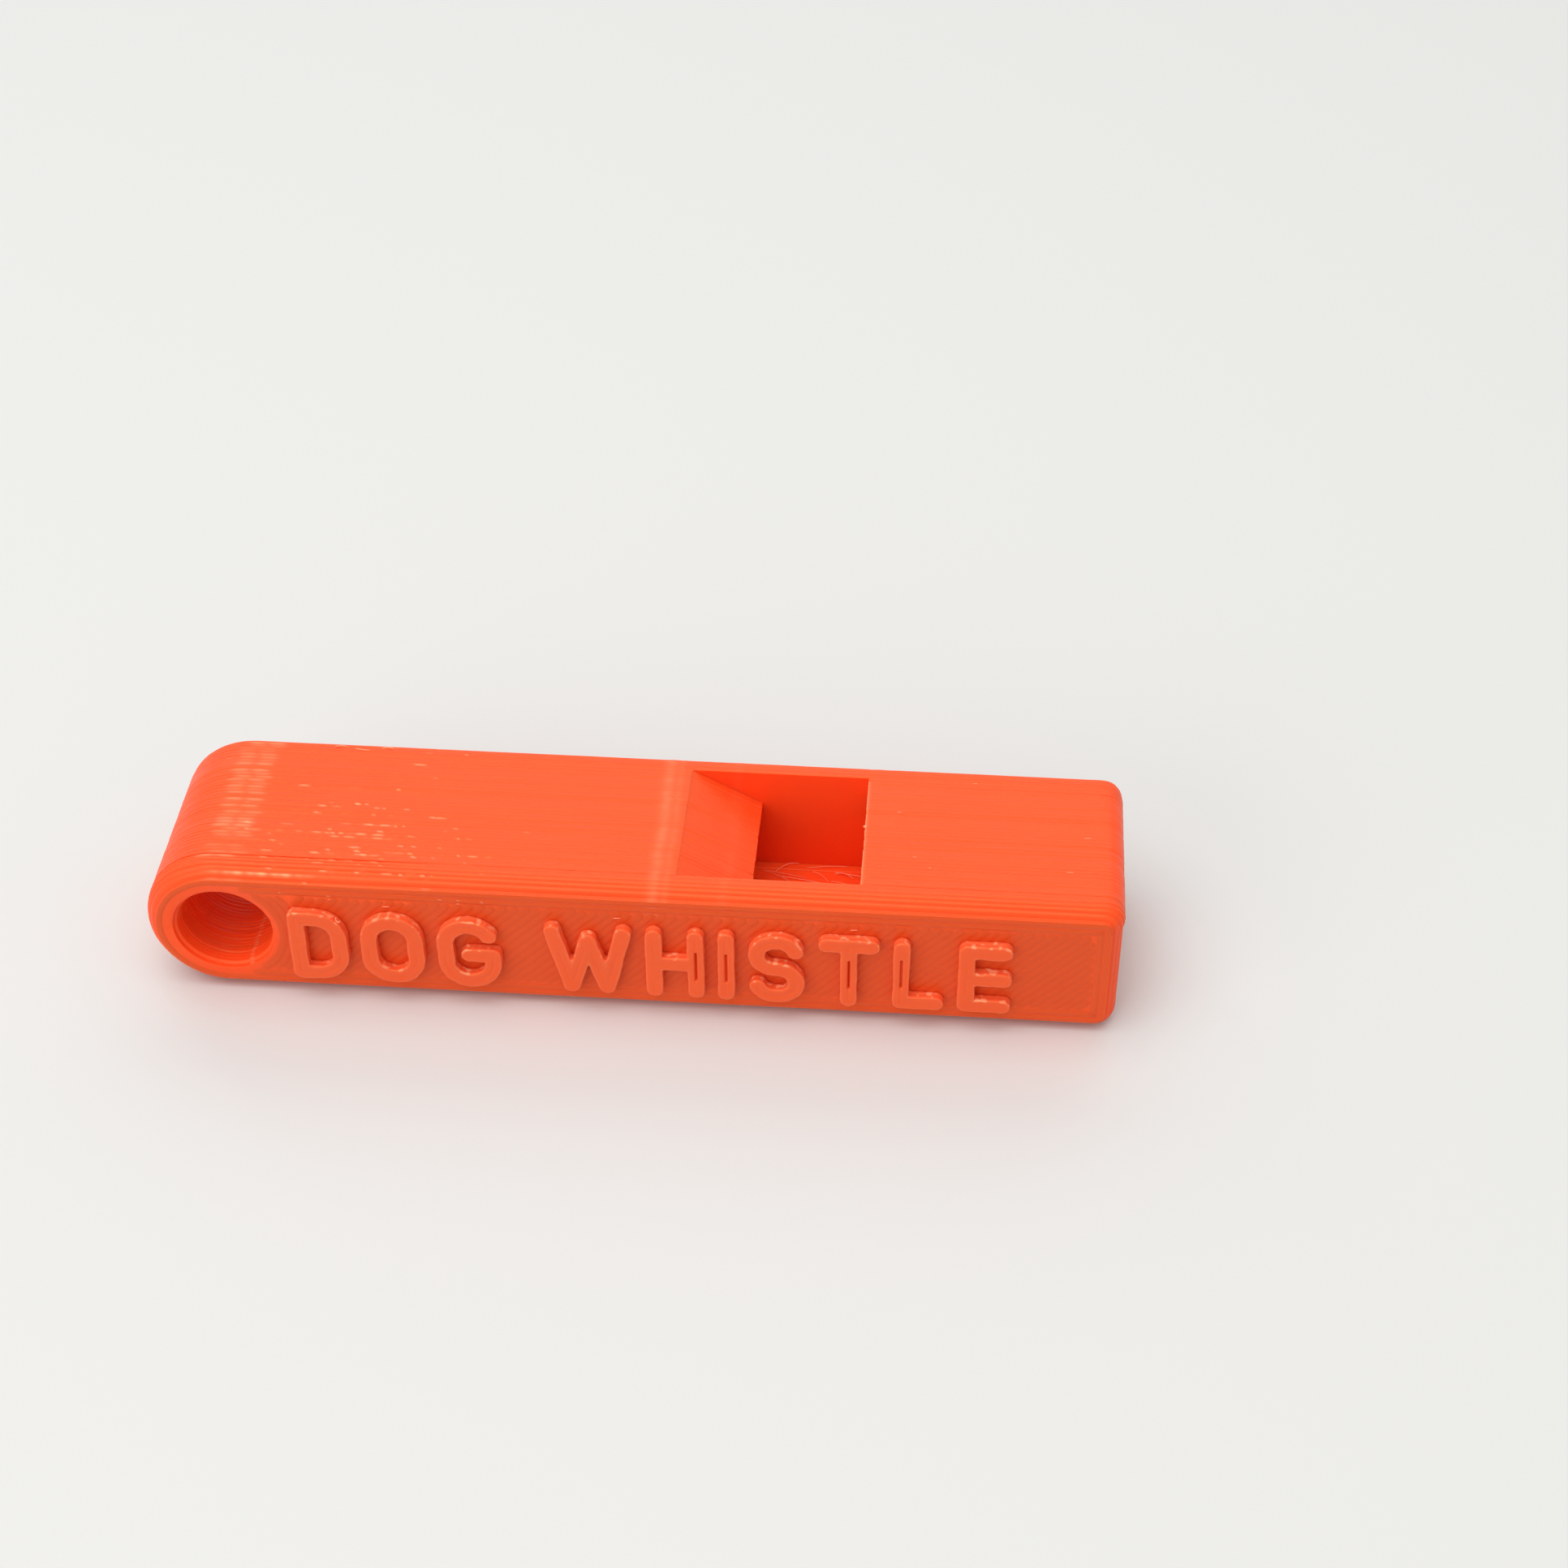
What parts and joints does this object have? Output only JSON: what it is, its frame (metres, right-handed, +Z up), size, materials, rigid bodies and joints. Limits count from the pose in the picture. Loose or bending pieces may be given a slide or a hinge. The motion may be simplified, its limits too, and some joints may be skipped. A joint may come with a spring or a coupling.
{
  "type": "training whistle",
  "caption": "Pealess flat-sided dog training whistle, 3D printed in orange plastic, with a sound window, sloping labium, windway mouthpiece and a round lanyard hole.",
  "frame": {"origin": "bottom centre of the whole part, its raised letters included", "axes": "+X towards the mouthpiece, +Z up through the sound window's side, -Y towards the lettered side"},
  "size_m": [0.054, 0.0126, 0.0088],
  "materials": {
    "orange_plastic": "satin printed plastic with fine layer lines"
  },
  "bodies": {
    "root": {"front_side_plate": "orange_plastic", "back_side_plate": "orange_plastic", "lanyard_boss": "orange_plastic", "chamber_end_wall": "orange_plastic", "chamber_floor": "orange_plastic", "chamber_roof": "orange_plastic", "labium_blade": "orange_plastic", "fipple_block": "orange_plastic", "windway_roof": "orange_plastic", "mouthpiece_floor": "orange_plastic", "letter_01_d": "orange_plastic", "letter_02_o": "orange_plastic", "letter_03_g": "orange_plastic", "letter_04_w": "orange_plastic", "letter_05_h": "orange_plastic", "letter_06_i": "orange_plastic", "letter_07_s": "orange_plastic", "letter_08_t": "orange_plastic", "letter_09_l": "orange_plastic", "letter_10_e": "orange_plastic"}
  },
  "joints": []
}
